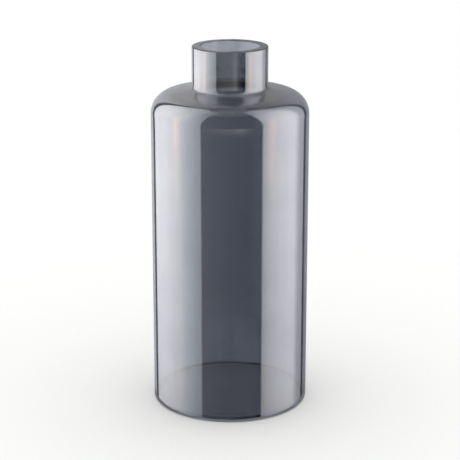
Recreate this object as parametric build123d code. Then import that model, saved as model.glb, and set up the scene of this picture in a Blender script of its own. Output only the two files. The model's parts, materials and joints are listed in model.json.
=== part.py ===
from build123d import *
from math import asin, cos, degrees, radians, tan
import os

# Bottle vase: one blown vessel of clear glass, with a metallic lustre film on its outside.
# Millimetres, +Z up. The origin is on the axis, in the plane that the foot stands on.

# Outside of the glass
overall_height = 280.0
body_diameter = 120.0
neck_diameter = 57.4
neck_height = 32.0  # from the lip down to the root, where the lines of neck and shoulder cross
neck_fillet = 4.0  # hollow round at the root
shoulder_slope = 9.3  # degrees that the shoulder falls on its way out to the wall
shoulder_radius = 16.8  # round between shoulder and wall
foot_radius = 2.0  # round between wall and foot

# Inside of the glass
mouth_diameter = 44.4
body_wall = 3.0
shoulder_wall = 3.0  # at the outer end of the shoulder, square to its slope
root_wall = 5.5  # height of glass under the root, where the neck was drawn from the gather
flare_radius = 5.5  # round from the bore of the neck to the underside of the shoulder
base_thickness = 3.2
floor_radius = 1.7  # hollow round between inner wall and floor

# Cut lip and underside
lip_edge = 0.6  # polished round along both edges of the lip
punt_diameter = 106.0  # shallow hollow under the base, inside the ring that it stands on
punt_depth = 0.8

# Lustre film
lustre_thickness = 0.2  # far thicker than the real film, so that it stands as a solid
lustre_foot = 0.5  # height of its lower edge on the foot's round, clear of the standing face

# Sizes worked out from the ones above
body_radius = body_diameter / 2
neck_radius = neck_diameter / 2
bore_radius = mouth_diameter / 2
inner_radius = body_radius - body_wall
punt_radius = punt_diameter / 2
slope = radians(shoulder_slope)
root_height = overall_height - neck_height


def shoulder_height(radius, depth):
    """Height of the shoulder's straight slope at a radius, a depth square below its outer face."""
    fall = (radius - neck_radius) * tan(slope)
    return root_height - fall - depth / cos(slope)


def outside_corners(growth):
    """Crossings of wall with shoulder and of shoulder with neck, with the outside moved out."""
    wall = body_radius + growth
    neck = neck_radius + growth
    return [(wall, shoulder_height(wall, -growth)), (neck, shoulder_height(neck, -growth))]


def glass_outline():
    """Closed half section: round the outside, over the lip, down the inside, back along the punt."""
    walls = FilletPolyline(
        (punt_radius, 0),
        (body_radius, 0),
        *outside_corners(0),
        (neck_radius, overall_height),
        (bore_radius, overall_height),
        (bore_radius, root_height - root_wall),
        (inner_radius, shoulder_height(inner_radius, shoulder_wall)),
        (inner_radius, base_thickness),
        (0, base_thickness),
        radius=[
            foot_radius,
            shoulder_radius,
            neck_fillet,
            lip_edge,
            lip_edge,
            flare_radius,
            shoulder_radius - body_wall,
            floor_radius,
        ],
    )
    axis_line = Line((0, base_thickness), (0, punt_depth))
    punt = TangentArc((0, punt_depth), (punt_radius, 0), tangent=(1, 0))
    return walls + axis_line + punt


def outside_run(growth):
    """Line of the outside from low on the foot's round up to the lip's edge, moved out by a growth."""
    turn_radius = foot_radius + growth
    turn_centre = (body_radius - foot_radius, foot_radius)
    turn = degrees(asin((foot_radius - lustre_foot) / turn_radius))
    foot_turn = CenterArc(turn_centre, turn_radius, -turn, turn)
    upright = FilletPolyline(
        (body_radius + growth, foot_radius),
        *outside_corners(growth),
        (neck_radius + growth, overall_height - lip_edge),
        radius=[shoulder_radius + growth, neck_fillet - growth],
    )
    return foot_turn + upright


def lustre_outline():
    """Closed half section of the film, whose inner line is the outside of the glass."""
    seat = outside_run(0)
    face = outside_run(lustre_thickness)
    return seat + face + Line(seat @ 0, face @ 0) + Line(seat @ 1, face @ 1)


def turned(outline):
    """Solid of revolution about the vase's axis."""
    return revolve(Plane.XZ * make_face(outline), Axis.Z)


os.makedirs("parts", exist_ok=True)
export_step(turned(glass_outline()), "parts/glass_vessel.step")
export_step(turned(lustre_outline()), "parts/lustre_film.step")
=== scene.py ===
"""Dresses the bottle vase: blown glass under a metal lustre, on a pale floor in a light tent."""
import json
import logging
from dataclasses import dataclass
from enum import Enum
from math import acos, asin, ceil, cos, pi, radians, sin, tan, tau

import bpy
from mathutils import Matrix, Vector


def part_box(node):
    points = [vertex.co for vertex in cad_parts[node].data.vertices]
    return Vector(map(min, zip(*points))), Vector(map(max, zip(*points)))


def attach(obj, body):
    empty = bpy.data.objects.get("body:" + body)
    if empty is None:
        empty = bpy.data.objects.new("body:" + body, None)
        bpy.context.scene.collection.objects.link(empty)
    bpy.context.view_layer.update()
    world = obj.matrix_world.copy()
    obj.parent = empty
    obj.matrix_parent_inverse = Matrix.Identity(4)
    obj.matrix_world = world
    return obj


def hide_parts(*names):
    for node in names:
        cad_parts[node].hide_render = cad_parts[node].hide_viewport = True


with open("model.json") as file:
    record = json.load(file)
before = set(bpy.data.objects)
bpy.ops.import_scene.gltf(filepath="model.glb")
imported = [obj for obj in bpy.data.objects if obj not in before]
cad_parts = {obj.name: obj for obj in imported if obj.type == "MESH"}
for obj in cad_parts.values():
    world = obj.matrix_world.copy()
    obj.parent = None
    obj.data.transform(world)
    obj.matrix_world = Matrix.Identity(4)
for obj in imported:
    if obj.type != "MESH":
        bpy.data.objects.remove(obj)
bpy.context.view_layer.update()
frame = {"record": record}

log = logging.getLogger("bottle_vase")

MM = 0.001
BODY = "root"

# Fineness of the turned meshes
TURN_STEPS = 192  # facets round the axis
ARC_STEP = radians(5.0)  # largest turn between two rings of a round
LEAST_ARC_STEPS = 6
RING_SPACING = 14 * MM  # along straight runs
SAME_PLACE = 0.001 * MM  # nearer points are one point
CREASE = radians(30.0)  # sharper edges stay sharp

# Materials
BLACK = (0.0, 0.0, 0.0, 1.0)
WHITE = (1.0, 1.0, 1.0, 1.0)
NOISE_LOW, NOISE_HIGH = 0.3, 0.7  # most of a noise lies between these

# Light tent
FULL_TURN = 360  # degrees
EVEN_GLOW = ((-FULL_TURN / 2, 1.0), (FULL_TURN / 2, 1.0))  # the same at all bearings


class Slot(Enum):
    """Material slots of the record."""

    GLASS = "clear_glass"
    LUSTRE = "grey_lustre"


class CadNode(Enum):
    """CAD nodes that the pieces stand for."""

    GLASS = "glass_vessel"
    LUSTRE = "lustre_film"


class SeenBy(Enum):
    """Kinds of ray that can be told to pass a stage piece by."""

    CAMERA = "visible_camera"
    DIFFUSE = "visible_diffuse"
    GLOSSY = "visible_glossy"
    TRANSMISSION = "visible_transmission"
    SHADOW = "visible_shadow"


def linear(hex_colour: str) -> tuple[float, float, float, float]:
    """Turns an sRGB colour into linear light.

    Args:
        hex_colour: the colour as # and six hex digits.

    Returns:
        Red, green, blue and full alpha.
    """
    shares = [int(hex_colour[i : i + 2], 16) / 255 for i in (1, 3, 5)]
    red, green, blue = [s / 12.92 if s <= 0.04045 else ((s + 0.055) / 1.055) ** 2.4 for s in shares]
    return red, green, blue, 1.0


def add_node(
    tree: bpy.types.NodeTree,
    kind: str,
    settings: dict[str | int, object] | None = None,
    links: dict[str | int, bpy.types.NodeSocket] | None = None,
) -> bpy.types.Node:
    """Adds one shader node.

    Args:
        tree: the node tree that it goes into.
        kind: the node's type name.
        settings: values by input name or number, or by the name of a property of the node.
        links: output sockets by the input that each feeds.

    Returns:
        The new node.
    """
    node = tree.nodes.new(kind)
    for name, value in (settings or {}).items():
        if isinstance(name, int) or name in node.inputs:
            node.inputs[name].default_value = value
        else:
            setattr(node, name, value)
    for name, source in (links or {}).items():
        tree.links.new(source, node.inputs[name])
    return node


def fill_ramp(ramp: bpy.types.ColorRamp, stops: list[tuple[float, tuple[float, ...]]]) -> None:
    """Gives a colour ramp its stops.

    Args:
        ramp: the ramp, with the two stops that a new one has.
        stops: position and linear colour of each stop, in rising order, at least two.
    """
    while len(ramp.elements) < len(stops):
        ramp.elements.new(1.0)
    for element, (position, colour) in zip(ramp.elements, stops):
        element.position = position
        element.color = colour


def new_material(name: str) -> tuple[bpy.types.Material, bpy.types.NodeTree]:
    """Makes an empty node material.

    Args:
        name: the material's name.

    Returns:
        The material and its node tree, with no node in it.
    """
    material = bpy.data.materials.new(name)
    material.use_nodes = True
    material.node_tree.nodes.clear()
    return material, material.node_tree


@dataclass(frozen=True)
class BlownWaves:
    """Long shallow waves that the blowing leaves in the skin of the glass and in all that lies on it."""

    length: float = 34 * MM
    height: float = 0.03 * MM

    def normal(self, tree: bpy.types.NodeTree, place: bpy.types.NodeSocket) -> bpy.types.NodeSocket:
        """Adds the waves to a material.

        Args:
            tree: the material's node tree.
            place: the socket with the place on the object.

        Returns:
            The socket with the waved normal.
        """
        waves = add_node(
            tree,
            "ShaderNodeTexNoise",
            {"Scale": 1 / self.length, "Detail": 1.0, "Roughness": 0.3},
            {"Vector": place},
        )
        skin = add_node(
            tree,
            "ShaderNodeBump",
            {"Strength": 1.0, "Distance": self.height},
            {"Height": waves.outputs["Fac"]},
        )
        return skin.outputs["Normal"]


@dataclass(frozen=True)
class BlownGlass:
    """Clear soda-lime glass, blown and fire-polished.

    To the eye it is colourless face on and faintly grey-green along its length, with a mirror-smooth skin
    whose long shallow waves, left by the blowing, bend straight reflections a little. The lip was cut off
    and polished; round it the glass colour is painted grey, a painted shade that darkens the lip.
    """

    lip_height: float
    lip_edge: float
    waves: BlownWaves
    colour: str = "#fdfefd"
    # painted shade: grey glass colour round the lip that darkens the light it passes
    lip_painted_shade: str = "#5c5c60"
    depth_colour: str = "#cfdcd6"
    depth_density: float = 4.0  # share of the depth colour that is taken, per metre
    ior: float = 1.52
    roughness: float = 0.0

    def material(self) -> bpy.types.Material:
        """Makes the glass with its waves and the painted shade round its lip.

        Returns:
            The glass.
        """
        material, tree = new_material("blown_soda_lime_glass")
        place = add_node(tree, "ShaderNodeTexCoord").outputs["Object"]
        parts = add_node(tree, "ShaderNodeSeparateXYZ", links={"Vector": place})
        lip_low = self.lip_height - self.lip_edge
        near_lip = add_node(
            tree,
            "ShaderNodeMapRange",
            {"From Min": lip_low, "From Max": lip_low + self.lip_edge / 2},
            {"Value": parts.outputs["Z"]},
        )
        # ramp from clear glass to the painted shade at the lip
        tone = add_node(tree, "ShaderNodeValToRGB", links={"Fac": near_lip.outputs["Result"]})
        fill_ramp(tone.color_ramp, [(0.0, linear(self.colour)), (1.0, linear(self.lip_painted_shade))])
        glass = add_node(
            tree,
            "ShaderNodeBsdfPrincipled",
            {"Roughness": self.roughness, "IOR": self.ior, "Transmission Weight": 1.0},
            {"Base Color": tone.outputs["Color"], "Normal": self.waves.normal(tree, place)},
        )
        depth = add_node(
            tree,
            "ShaderNodeVolumeAbsorption",
            {"Color": linear(self.depth_colour), "Density": self.depth_density},
        )
        add_node(
            tree,
            "ShaderNodeOutputMaterial",
            links={"Surface": glass.outputs["BSDF"], "Volume": depth.outputs["Volume"]},
        )
        return material


@dataclass(frozen=True)
class MetalLustre:
    """Semi-transparent metal lustre, fired on as a film thinner than light is long.

    To the eye it is a half mirror: it sends back a neutral, slightly cool picture of the room and lets
    through a smoky blue-grey. Its thickness drifts a little, which shows as faint cloudy streaks. Round the
    root of the neck it is duller, over the marks of the tool that drew the neck in.
    """

    waves: BlownWaves
    metal_pale: str = "#d8d6d6"
    metal_deep: str = "#d0cecf"
    smoke: str = "#f4f7ff"
    cover_low: float = 0.492  # share of the light that meets metal at each face of the film
    cover_high: float = 0.536
    roughness_low: float = 0.02
    roughness_high: float = 0.06
    cloud_length: float = 45 * MM
    streak_width: float = 3 * MM
    streak_length: float = 120 * MM
    mark_width: float = 10 * MM
    mark_height: float = 0.3 * MM
    mark_roughness: float = 0.22  # what the marks add
    marks_from: float = 242.5 * MM  # the marks lie between these heights
    marks_to: float = 252 * MM
    marks_full: tuple[float, float] = (0.35, 0.65)  # shares of the way up between which they are strongest

    def material(self) -> bpy.types.Material:
        """Makes the film with its clouds, streaks and the waves and tool marks of the glass below.

        Returns:
            The lustre.
        """
        material, tree = new_material("fired_metal_lustre")
        place = add_node(tree, "ShaderNodeTexCoord").outputs["Object"]
        clouds = add_node(
            tree,
            "ShaderNodeTexNoise",
            {"Scale": 1 / self.cloud_length, "Detail": 2.0},
            {"Vector": place},
        )
        tone = add_node(tree, "ShaderNodeValToRGB", links={"Fac": clouds.outputs["Fac"]})
        stops = [(NOISE_LOW, linear(self.metal_deep)), (NOISE_HIGH, linear(self.metal_pale))]
        fill_ramp(tone.color_ramp, stops)
        upright = add_node(
            tree,
            "ShaderNodeMapping",
            {"Scale": (1 / self.streak_width, 1 / self.streak_width, 1 / self.streak_length)},
            {"Vector": place},
        )
        streaks = add_node(
            tree,
            "ShaderNodeTexNoise",
            {"Scale": 1.0, "Detail": 2.0},
            {"Vector": upright.outputs["Vector"]},
        )
        gloss = add_node(
            tree,
            "ShaderNodeMapRange",
            {"To Min": self.roughness_low, "To Max": self.roughness_high},
            {"Value": streaks.outputs["Fac"]},
        )
        parts = add_node(tree, "ShaderNodeSeparateXYZ", links={"Vector": place})
        rise = add_node(
            tree,
            "ShaderNodeMapRange",
            {"From Min": self.marks_from, "From Max": self.marks_to},
            {"Value": parts.outputs["Z"]},
        )
        tooled = add_node(tree, "ShaderNodeValToRGB", links={"Fac": rise.outputs["Result"]})
        full_from, full_to = self.marks_full
        fill_ramp(tooled.color_ramp, [(0.0, BLACK), (full_from, WHITE), (full_to, WHITE), (1.0, BLACK)])
        ripple = add_node(
            tree,
            "ShaderNodeTexNoise",
            {"Scale": 1 / self.mark_width, "Detail": 1.0, "Roughness": 0.3},
            {"Vector": place},
        )
        marks = add_node(
            tree,
            "ShaderNodeBump",
            {"Distance": self.mark_height},
            {
                "Strength": tooled.outputs["Color"],
                "Height": ripple.outputs["Fac"],
                "Normal": self.waves.normal(tree, place),
            },
        )
        dull = add_node(
            tree,
            "ShaderNodeMath",
            {"operation": "MULTIPLY_ADD", 1: self.mark_roughness},
            {0: tooled.outputs["Color"], 2: gloss.outputs["Result"]},
        )
        metal = add_node(
            tree,
            "ShaderNodeBsdfPrincipled",
            {"Metallic": 1.0},
            {
                "Base Color": tone.outputs["Color"],
                "Roughness": dull.outputs[0],
                "Normal": marks.outputs["Normal"],
            },
        )
        clear = add_node(tree, "ShaderNodeBsdfTransparent", {"Color": linear(self.smoke)})
        cover = add_node(
            tree,
            "ShaderNodeMapRange",
            {
                "From Min": NOISE_LOW,
                "From Max": NOISE_HIGH,
                "To Min": self.cover_low,
                "To Max": self.cover_high,
            },
            {"Value": streaks.outputs["Fac"]},
        )
        film = add_node(
            tree,
            "ShaderNodeMixShader",
            links={0: cover.outputs["Result"], 1: clear.outputs["BSDF"], 2: metal.outputs["BSDF"]},
        )
        add_node(tree, "ShaderNodeOutputMaterial", links={"Surface": film.outputs["Shader"]})
        return material


@dataclass(frozen=True)
class PaleFloor:
    """Matt white board, almost without grain, as is laid under glass for product pictures."""

    name: str = "matt_white_board"
    colour: str = "#f6f6f5"
    grain_tone: str = "#f4f4f3"
    grain_size: float = 3 * MM  # coarser than the real grain, which is too fine to show
    roughness: float = 0.9
    specular: float = 0.1

    def material(self) -> bpy.types.Material:
        """Makes the board with its faint grain.

        Returns:
            The board's material.
        """
        material, tree = new_material(self.name)
        place = add_node(tree, "ShaderNodeTexCoord").outputs["Object"]
        grain = add_node(
            tree,
            "ShaderNodeTexNoise",
            {"Scale": 1 / self.grain_size, "Detail": 2.0},
            {"Vector": place},
        )
        tone = add_node(tree, "ShaderNodeValToRGB", links={"Fac": grain.outputs["Fac"]})
        stops = [(NOISE_LOW, linear(self.grain_tone)), (NOISE_HIGH, linear(self.colour))]
        fill_ramp(tone.color_ramp, stops)
        board = add_node(
            tree,
            "ShaderNodeBsdfPrincipled",
            {"Roughness": self.roughness, "Specular IOR Level": self.specular},
            {"Base Color": tone.outputs["Color"]},
        )
        add_node(tree, "ShaderNodeOutputMaterial", links={"Surface": board.outputs["BSDF"]})
        return material


@dataclass(frozen=True)
class TentCloth:
    """White tent cloth lit from outside, so that it glows unevenly round the vase.

    A bearing is counted in degrees from the camera's side, positive to the right. A glow is a share of the
    brightest cloth. Above a height the walls lean, so that their seams come nearer to the camera's side.
    """

    name: str
    glows: tuple[tuple[float, float], ...]  # bearing and glow, all round
    heights: tuple[tuple[float, float], ...]  # height and share of the glow, upwards
    strength: float
    colour: str = "#ffffff"
    sheer: bool = False  # True lets what hangs behind it show through
    lean: float = 0.0  # share that bearings lose per metre of height
    lean_from: float = 0.3  # height above which the walls lean

    def material(self) -> bpy.types.Material:
        """Makes the cloth, which glows by bearing and by height.

        Returns:
            The cloth.
        """
        material, tree = new_material(self.name)
        place = add_node(tree, "ShaderNodeTexCoord").outputs["Object"]
        facing = add_node(tree, "ShaderNodeMapping", {"Rotation": (0, 0, pi / 2)}, {"Vector": place})
        bearing = add_node(
            tree,
            "ShaderNodeTexGradient",
            {"gradient_type": "RADIAL"},
            {"Vector": facing.outputs["Vector"]},
        )
        parts = add_node(tree, "ShaderNodeSeparateXYZ", links={"Vector": place})
        stretch = add_node(
            tree,
            "ShaderNodeMapRange",
            {
                "clamp": False,
                "From Min": self.lean_from,
                "From Max": self.lean_from + 1,
                "To Min": 1.0,
                "To Max": 1 + self.lean,
            },
            {"Value": parts.outputs["Z"]},
        )
        least = add_node(
            tree,
            "ShaderNodeMath",
            {"operation": "MAXIMUM", 1: 1.0},
            {0: stretch.outputs["Result"]},
        )
        side = add_node(
            tree,
            "ShaderNodeMath",
            {"operation": "SUBTRACT", 1: 0.5},
            {0: bearing.outputs["Fac"]},
        )
        leant = add_node(
            tree,
            "ShaderNodeMath",
            {"operation": "MULTIPLY_ADD", 2: 0.5},
            {0: side.outputs[0], 1: least.outputs[0]},
        )
        glow = add_node(tree, "ShaderNodeValToRGB", links={"Fac": leant.outputs[0]})
        red, green, blue, _ = linear(self.colour)
        stops = [
            (0.5 + degrees / FULL_TURN, (share * red, share * green, share * blue, 1.0))
            for degrees, share in self.glows
        ]
        fill_ramp(glow.color_ramp, stops)
        lowest, highest = self.heights[0][0], self.heights[-1][0]
        rise = add_node(
            tree,
            "ShaderNodeMapRange",
            {"From Min": lowest, "From Max": highest},
            {"Value": parts.outputs["Z"]},
        )
        level = add_node(tree, "ShaderNodeValToRGB", links={"Fac": rise.outputs["Result"]})
        stops = [
            ((height - lowest) / (highest - lowest), (share, share, share, 1.0))
            for height, share in self.heights
        ]
        fill_ramp(level.color_ramp, stops)
        dimmed = add_node(
            tree,
            "ShaderNodeMix",
            {"data_type": "RGBA", "blend_type": "MULTIPLY", 0: 1.0},
            {6: glow.outputs["Color"], 7: level.outputs["Color"]},
        )
        lit = add_node(
            tree,
            "ShaderNodeEmission",
            {"Strength": self.strength},
            {"Color": dimmed.outputs[2]},
        )
        surface = lit.outputs["Emission"]
        if self.sheer:
            clear = add_node(tree, "ShaderNodeBsdfTransparent")
            both = add_node(tree, "ShaderNodeAddShader", links={0: surface, 1: clear.outputs["BSDF"]})
            surface = both.outputs["Shader"]
        add_node(tree, "ShaderNodeOutputMaterial", links={"Surface": surface})
        return material


@dataclass(frozen=True)
class Corner:
    """A corner of a half section."""

    radius: float  # from the axis
    height: float
    round: float = 0.0  # radius of the round that takes its place

    def place(self) -> Vector:
        """Distance from the axis and height as a vector."""
        return Vector((self.radius, self.height))


class Template:
    """Half section of a turned piece, drawn in edit mode stroke by stroke and spun round the axis."""

    def __init__(self, name: str, start: Corner) -> None:
        """Starts the line with one point.

        Args:
            name: name of the piece.
            start: where the line starts.
        """
        bpy.ops.object.select_all(action="DESELECT")
        bpy.ops.mesh.primitive_plane_add(size=RING_SPACING, location=(start.radius, 0, start.height))
        self.piece = bpy.context.active_object
        self.piece.name = self.piece.data.name = name
        bpy.ops.object.transform_apply(location=True)
        bpy.ops.object.mode_set(mode="EDIT")
        bpy.ops.mesh.select_all(action="SELECT")
        bpy.ops.mesh.merge(type="CENTER")
        self.tip = start.place()

    def straight(self, end: Vector) -> None:
        """Draws a straight run with rings along it.

        Args:
            end: where the run ends.
        """
        run = end - self.tip
        steps = ceil(run.length / RING_SPACING)
        for _ in range(steps):
            bpy.ops.mesh.extrude_vertices_move(
                TRANSFORM_OT_translate={"value": (run.x / steps, 0, run.y / steps)}
            )
        self.tip = end

    def arc(self, centre: Vector, turn: float) -> None:
        """Draws an arc.

        Args:
            centre: centre of the arc.
            turn: angle of the arc in radians, positive from outwards to upwards.
        """
        steps = max(LEAST_ARC_STEPS, ceil(abs(turn) / ARC_STEP))
        bpy.ops.mesh.spin(steps=steps, angle=turn, center=(centre.x, 0, centre.y), axis=(0, 1, 0))
        self.tip = centre + Matrix.Rotation(turn, 2) @ (self.tip - centre)

    def follow(self, corners: list[Corner]) -> None:
        """Draws straight runs through corners, each rounded by its own radius.

        Args:
            corners: the corners in order. The line ends at the last one, which has no round.
        """
        for corner, following in zip(corners, corners[1:]):
            come = (corner.place() - self.tip).normalized()
            leave = (following.place() - corner.place()).normalized()
            turn = -come.angle_signed(leave)
            self.straight(corner.place() - come * corner.round * tan(abs(turn) / 2))
            left = Vector((-come.y, come.x)) * (1 if turn > 0 else -1)
            self.arc(self.tip + left * corner.round, turn)
        self.straight(corners[-1].place())

    def turned(self) -> bpy.types.Object:
        """Spins the line once round the axis and closes the skin.

        Returns:
            The turned piece, with its faces outwards.
        """
        bpy.ops.mesh.select_all(action="SELECT")
        bpy.ops.mesh.spin(steps=TURN_STEPS, angle=tau, center=(0, 0, 0), axis=(0, 0, 1))
        bpy.ops.mesh.select_all(action="SELECT")
        bpy.ops.mesh.remove_doubles(threshold=SAME_PLACE)
        bpy.ops.mesh.normals_make_consistent(inside=False)
        bpy.ops.object.mode_set(mode="OBJECT")
        return self.piece


@dataclass(frozen=True)
class VaseShape:
    """Sizes of the vase, in metres. The first ones come from the frame."""

    height: float
    body_radius: float
    bore_radius: float
    lip_edge: float
    film_thickness: float
    film_foot: float
    neck_radius: float = 28.7 * MM
    neck_height: float = 32.0 * MM
    neck_fillet: float = 4.0 * MM
    shoulder_slope: float = radians(9.3)
    shoulder_round: float = 16.8 * MM
    foot_round: float = 2.0 * MM
    body_wall: float = 3.0 * MM
    shoulder_wall: float = 3.0 * MM
    root_wall: float = 5.5 * MM
    flare_round: float = 5.5 * MM
    base_thickness: float = 3.2 * MM
    floor_round: float = 1.7 * MM
    punt_radius: float = 53.0 * MM
    punt_depth: float = 0.8 * MM

    @classmethod
    def from_frame(cls) -> "VaseShape":
        """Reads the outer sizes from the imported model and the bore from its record.

        Returns:
            The vase's sizes.
        """
        _, glass_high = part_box(CadNode.GLASS.value)
        film_low, film_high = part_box(CadNode.LUSTRE.value)
        mouth = next(mount for mount in frame["record"]["mounts"] if mount["name"] == "mouth")
        return cls(
            height=glass_high[2],
            body_radius=glass_high[0],
            bore_radius=mouth["dims"]["r_mm"] * MM,
            lip_edge=glass_high[2] - film_high[2],
            film_thickness=film_high[0] - glass_high[0],
            film_foot=film_low[2],
        )

    def root_height(self) -> float:
        """Height of the root, where the lines of neck and shoulder cross."""
        return self.height - self.neck_height

    def inner_radius(self) -> float:
        """Radius of the cavity inside the body."""
        return self.body_radius - self.body_wall

    def shoulder_height(self, radius: float, depth: float) -> float:
        """Height of the shoulder's straight slope.

        Args:
            radius: distance from the axis.
            depth: how far square below the outer face.

        Returns:
            The height.
        """
        fall = (radius - self.neck_radius) * tan(self.shoulder_slope)
        return self.root_height() - fall - depth / cos(self.shoulder_slope)

    def outside(self, growth: float) -> list[Corner]:
        """Corners of the outside above the wall.

        Args:
            growth: how far the outside is moved out.

        Returns:
            The corners of shoulder and neck, upwards.
        """
        wall = self.body_radius + growth
        neck = self.neck_radius + growth
        return [
            Corner(wall, self.shoulder_height(wall, -growth), self.shoulder_round + growth),
            Corner(neck, self.shoulder_height(neck, -growth), self.neck_fillet - growth),
        ]


@dataclass
class GlassVessel:
    """The blown vessel: body, shoulder, neck, cut lip, cavity and thin base in one wall of glass."""

    shape: VaseShape
    finish: BlownGlass

    def build(self) -> bpy.types.Object:
        """Turns the whole wall, from the dome under the foot over the lip to the inner floor.

        Returns:
            The wall of glass.
        """
        shape = self.shape
        template = Template("glass_wall", Corner(0, shape.punt_depth))
        dome_radius = (shape.punt_radius**2 + shape.punt_depth**2) / (2 * shape.punt_depth)
        dome_centre = Vector((0, shape.punt_depth - dome_radius))
        template.arc(dome_centre, -asin(shape.punt_radius / dome_radius))
        inner = shape.inner_radius()
        template.follow(
            [
                Corner(shape.body_radius, 0, shape.foot_round),
                *shape.outside(0),
                Corner(shape.neck_radius, shape.height, shape.lip_edge),
                Corner(shape.bore_radius, shape.height, shape.lip_edge),
                Corner(shape.bore_radius, shape.root_height() - shape.root_wall, shape.flare_round),
                Corner(
                    inner,
                    shape.shoulder_height(inner, shape.shoulder_wall),
                    shape.shoulder_round - shape.body_wall,
                ),
                Corner(inner, shape.base_thickness, shape.floor_round),
                Corner(0, shape.base_thickness),
            ]
        )
        return template.turned()

    def dress(self) -> bpy.types.Object:
        """Builds the vessel, smooths it, gives it its glass and ties it to the frame.

        Returns:
            The finished vessel.
        """
        piece = self.build()
        bpy.ops.object.shade_smooth_by_angle(angle=CREASE)
        piece.data.materials.append(self.finish.material())
        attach(piece, BODY)
        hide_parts(CadNode.GLASS.value)
        return piece


@dataclass
class LustreFilm:
    """The metal film on the outside of the glass, from just above the standing face up to the cut lip."""

    shape: VaseShape
    finish: MetalLustre
    bite: float = 0.02 * MM  # depth that the film is fired into the glass

    def build(self) -> bpy.types.Object:
        """Turns the film's outer face and gives it its thickness, inwards.

        Returns:
            The film.
        """
        shape = self.shape
        growth = shape.film_thickness
        centre = Vector((shape.body_radius - shape.foot_round, shape.foot_round))
        reach = shape.foot_round + growth
        below = acos((centre.y - shape.film_foot) / reach)
        start = Corner(centre.x + reach * sin(below), shape.film_foot)
        template = Template("lustre_skin", start)
        template.arc(centre, pi / 2 - below)
        template.follow(
            [
                *shape.outside(growth),
                Corner(shape.neck_radius + growth, shape.height - shape.lip_edge),
            ]
        )
        piece = template.turned()
        wall = piece.modifiers.new("thickness", "SOLIDIFY")
        wall.thickness = growth + self.bite
        wall.offset = -1.0
        wall.use_even_offset = True
        bpy.ops.object.modifier_apply(modifier=wall.name)
        return piece

    def dress(self) -> bpy.types.Object:
        """Builds the film, smooths it, gives it its metal and ties it to the frame.

        Returns:
            The finished film.
        """
        piece = self.build()
        bpy.ops.object.shade_smooth_by_angle(angle=CREASE)
        piece.data.materials.append(self.finish.material())
        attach(piece, BODY)
        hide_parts(CadNode.LUSTRE.value)
        return piece


def hide_from(piece: bpy.types.Object, *rays: SeenBy) -> None:
    """Lets kinds of ray pass a stage piece by."""
    for ray in rays:
        setattr(piece, ray.value, False)


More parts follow.
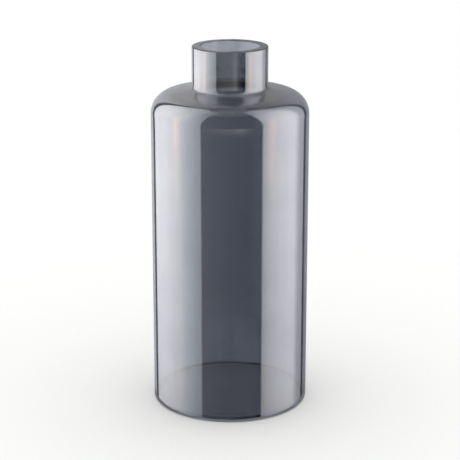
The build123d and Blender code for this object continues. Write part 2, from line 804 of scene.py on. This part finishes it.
@dataclass
class Studio:
    """The floor, the light tent round the vase, the daylight and the camera."""

    floor_size: float = 12.0
    patch_radius: float = 0.065
    # painted shadow: the vase's shade on the floor, painted into the patch's grey
    patch_painted_shadow: str = "#909097"
    tent_radius: float = 1.0
    tent_top: float = 3.6
    tent_bottom: float = -3.0  # below the floor, which mirrors don't show
    brow_bottom: float = 1.6  # lower edge of the cloth above the camera's opening
    tent_facets: int = 96
    back_bearing: float = 149.0  # where the length of wall that only mirrors show begins
    back_top_bottom: float = 0.35  # height above which refractions show the back wall too
    daylight: str = "#ffffff"
    daylight_strength: float = 1.12
    camera_distance: float = 1.1783
    camera_height: float = 0.4913
    camera_pitch: float = radians(16.797)
    camera_focal: float = 124.2  # millimetres, on a sensor 36 mm wide
    sensor_width: float = 36.0
    most_bounces: int = 32
    mirror_bounces: int = 16
    glass_bounces: int = 24
    clear_bounces: int = 32

    def lay_floor(self) -> None:
        """Lays the floor, and under the vase a patch, seen only through the glass, whose grey is a painted
        shadow of the vase.
        """
        bpy.ops.object.select_all(action="DESELECT")
        bpy.ops.mesh.primitive_plane_add(size=self.floor_size)
        floor = bpy.context.active_object
        floor.name = "floor"
        hide_from(floor, SeenBy.GLOSSY, SeenBy.TRANSMISSION)
        bpy.ops.mesh.primitive_circle_add(
            vertices=self.tent_facets, radius=self.patch_radius, fill_type="TRIFAN"
        )
        patch = bpy.context.active_object
        patch.name = "floor_patch"
        hide_from(patch, SeenBy.CAMERA, SeenBy.DIFFUSE, SeenBy.SHADOW)
        # the patch's board takes the painted shadow's grey as its colour
        shaded = PaleFloor("painted_shadow_board", self.patch_painted_shadow, self.patch_painted_shadow)
        for piece, board in ((floor, PaleFloor()), (patch, shaded)):
            piece.data.materials.append(board.material())

    def hang_cloth(
        self,
        name: str,
        material: bpy.types.Material,
        bearings: tuple[float, float],
        inside: bool,
        *hidden: SeenBy,
        inset: float = 0.0,
        bottom: float | None = None,
    ) -> None:
        """Hangs one length of the tent's wall, which only reflections and refractions show.

        Args:
            name: its name.
            material: what it is made of.
            bearings: bearings of its two ends, in degrees.
            inside: True to keep what lies between the bearings, False to keep the rest.
            hidden: kinds of ray that pass it by, besides those of camera, diffuse light and shadow.
            inset: how far inside the tent's wall it hangs, so that it doesn't coincide with another length.
            bottom: height of its lower edge, where it isn't the tent's.
        """
        low_edge = self.tent_bottom if bottom is None else bottom
        bpy.ops.object.select_all(action="DESELECT")
        bpy.ops.mesh.primitive_cylinder_add(
            vertices=self.tent_facets,
            radius=self.tent_radius - inset,
            depth=self.tent_top - low_edge,
            end_fill_type="NOTHING",
            location=(0, 0, (self.tent_top + low_edge) / 2),
        )
        wall = bpy.context.active_object
        wall.name = name
        bpy.ops.object.transform_apply(location=True)
        bpy.ops.object.mode_set(mode="EDIT")
        bpy.ops.mesh.select_all(action="DESELECT")
        bpy.ops.object.mode_set(mode="OBJECT")
        front = Vector((0, -1))
        low, high = [radians(bearing) for bearing in bearings]
        for face in wall.data.polygons:
            bearing = -front.angle_signed(face.center.to_2d())
            face.select = (low <= bearing <= high) != inside
        bpy.ops.object.mode_set(mode="EDIT")
        bpy.ops.mesh.delete(type="FACE")
        bpy.ops.object.mode_set(mode="OBJECT")
        wall.data.materials.append(material)
        hide_from(wall, SeenBy.CAMERA, SeenBy.DIFFUSE, SeenBy.SHADOW, *hidden)

    def level(self) -> tuple[tuple[float, float], ...]:
        """Share of the glow that is the same at all heights."""
        return (0.0, 1.0), (self.tent_top, 1.0)

    def hang_walls(self) -> None:
        """Hangs the walls, with dark seams behind the vase and a dark opening for the camera."""
        walls = TentCloth(
            name="tent_cloth",
            glows=(
                (-180, 0.29),
                (-147, 0.37),
                (-144, 0.02),
                (-138, 0.02),
                (-135, 0.73),
                (-110, 0.74),
                (-95, 0.66),
                (-75, 0.52),
                (-65, 0.37),
                (-48, 0.235),
                (-42, 0.215),
                (-40.5, 0.03),
                (0, 0.01),
                (45.5, 0.00),
                (47.5, 0.28),
                (56, 0.38),
                (75, 0.51),
                (95, 0.58),
                (106, 0.58),
                (119, 0.31),
                (131, 0.27),
                (133.5, 0.02),
                (139, 0.02),
                (142, 0.15),
                (180, 0.20),
            ),
            heights=(
                (-0.5, 0.56),
                (-0.33, 0.84),
                (-0.2, 0.98),
                (-0.05, 1.09),
                (0.5, 1.09),
                (0.85, 0.95),
                (1.2, 0.77),
                (1.6, 0.58),
                (2.8, 0.36),
                (self.tent_top, 0.28),
            ),
            strength=2.0,
            lean=0.07,
        ).material()
        ends = (-self.back_bearing, self.back_bearing)
        self.hang_cloth("tent_sides", walls, ends, True)
        self.hang_cloth("tent_back", walls, ends, False, SeenBy.TRANSMISSION)
        back_top = TentCloth("tent_back_top", EVEN_GLOW, self.level(), strength=0.55).material()
        self.hang_cloth(back_top.name, back_top, ends, False, SeenBy.GLOSSY, bottom=self.back_top_bottom)

    def hang_lamps(self) -> None:
        """Hangs sheer lamps before the walls: two warm ones, a cool one and a dim one at neck height."""
        warm = TentCloth(
            name="warm_lamps",
            glows=((-91, 0.0), (-82, 1.0), (-73, 0.0), (53, 0.0), (62, 0.9), (71, 0.0)),
            heights=((-0.13, 0.0), (0.03, 1.0), (0.4, 1.0), (0.8, 0.0)),
            strength=0.4,
            colour="#ffb048",
            sheer=True,
        ).material()
        self.hang_cloth(warm.name, warm, (-96, 77), True, inset=0.01)
        cool = TentCloth(
            name="cool_lamp",
            glows=((-72, 0.0), (-64, 1.0), (-48, 1.0), (-43, 0.7), (-42, 0.0)),
            heights=self.level(),
            strength=0.06,
            colour="#40e0ff",
            sheer=True,
        ).material()
        self.hang_cloth(cool.name, cool, (-74, -41), True, inset=0.02)
        dim = TentCloth(
            name="dim_lamp",
            glows=((-36, 0.1), (-25, 0.3), (-6, 0.5), (8, 0.7), (13, 1.0), (18, 0.9), (26, 0.3), (36, 0.1)),
            heights=((0.03, 0.0), (0.06, 1.0), (0.12, 1.0), (0.15, 0.0)),
            strength=0.2,
            sheer=True,
        ).material()
        self.hang_cloth(dim.name, dim, (-36, 38), True, inset=0.025)

    def close_tent(self) -> None:
        """Hangs the brow above the camera's opening and lays the roof on."""
        brow = TentCloth(
            name="tent_brow",
            glows=((-44, 0.30), (-38, 0.18), (-25, 0.10), (20, 0.07), (38, 0.07), (45, 0.15)),
            heights=self.level(),
            strength=1.0,
        ).material()
        self.hang_cloth(brow.name, brow, (-44, 46), True, inset=0.03, bottom=self.brow_bottom)
        roof = TentCloth("tent_roof", EVEN_GLOW, self.level(), strength=0.13)
        bpy.ops.object.select_all(action="DESELECT")
        bpy.ops.mesh.primitive_circle_add(
            vertices=self.tent_facets,
            radius=self.tent_radius,
            fill_type="TRIFAN",
            location=(0, 0, self.tent_top),
        )
        cover = bpy.context.active_object
        cover.name = roof.name
        bpy.ops.object.transform_apply(location=True)
        cover.data.materials.append(roof.material())
        hide_from(cover, SeenBy.CAMERA, SeenBy.DIFFUSE, SeenBy.SHADOW)

    def let_daylight_in(self) -> None:
        """Surrounds the set with an even white light, which the floor and the glass receive."""
        world = bpy.data.worlds.new("even_daylight")
        world.use_nodes = True
        world.node_tree.nodes.clear()
        sky = add_node(
            world.node_tree,
            "ShaderNodeBackground",
            {"Color": linear(self.daylight), "Strength": self.daylight_strength},
        )
        add_node(world.node_tree, "ShaderNodeOutputWorld", links={"Surface": sky.outputs["Background"]})
        bpy.context.scene.world = world

    def place_camera(self) -> None:
        """Puts the camera where the photograph was taken from."""
        bpy.ops.object.camera_add(
            location=(0, -self.camera_distance, self.camera_height),
            rotation=(pi / 2 - self.camera_pitch, 0, 0),
        )
        camera = bpy.context.active_object
        camera.data.sensor_width = self.sensor_width
        camera.data.lens = self.camera_focal
        bpy.context.scene.camera = camera

    def set_exposure(self) -> None:
        """Sets the picture's colour handling and the depth of reflections in reflections."""
        scene = bpy.context.scene
        scene.view_settings.view_transform = "Standard"
        scene.cycles.use_denoising = True
        scene.cycles.max_bounces = self.most_bounces
        scene.cycles.glossy_bounces = self.mirror_bounces
        scene.cycles.transmission_bounces = self.glass_bounces
        scene.cycles.transparent_max_bounces = self.clear_bounces


def main() -> None:
    """Builds the set and the vase."""
    logging.basicConfig(level=logging.INFO, format="%(message)s")
    studio = Studio()
    studio.lay_floor()
    studio.hang_walls()
    studio.hang_lamps()
    studio.close_tent()
    studio.let_daylight_in()
    studio.place_camera()
    studio.set_exposure()
    shape = VaseShape.from_frame()
    waves = BlownWaves()
    vessel = GlassVessel(shape, BlownGlass(shape.height, shape.lip_edge, waves))
    film = LustreFilm(shape, MetalLustre(waves))
    for part in (vessel, film):
        piece = part.dress()
        log.info("%s: %d faces", piece.name, len(piece.data.polygons))


if __name__ == "__main__":
    main()
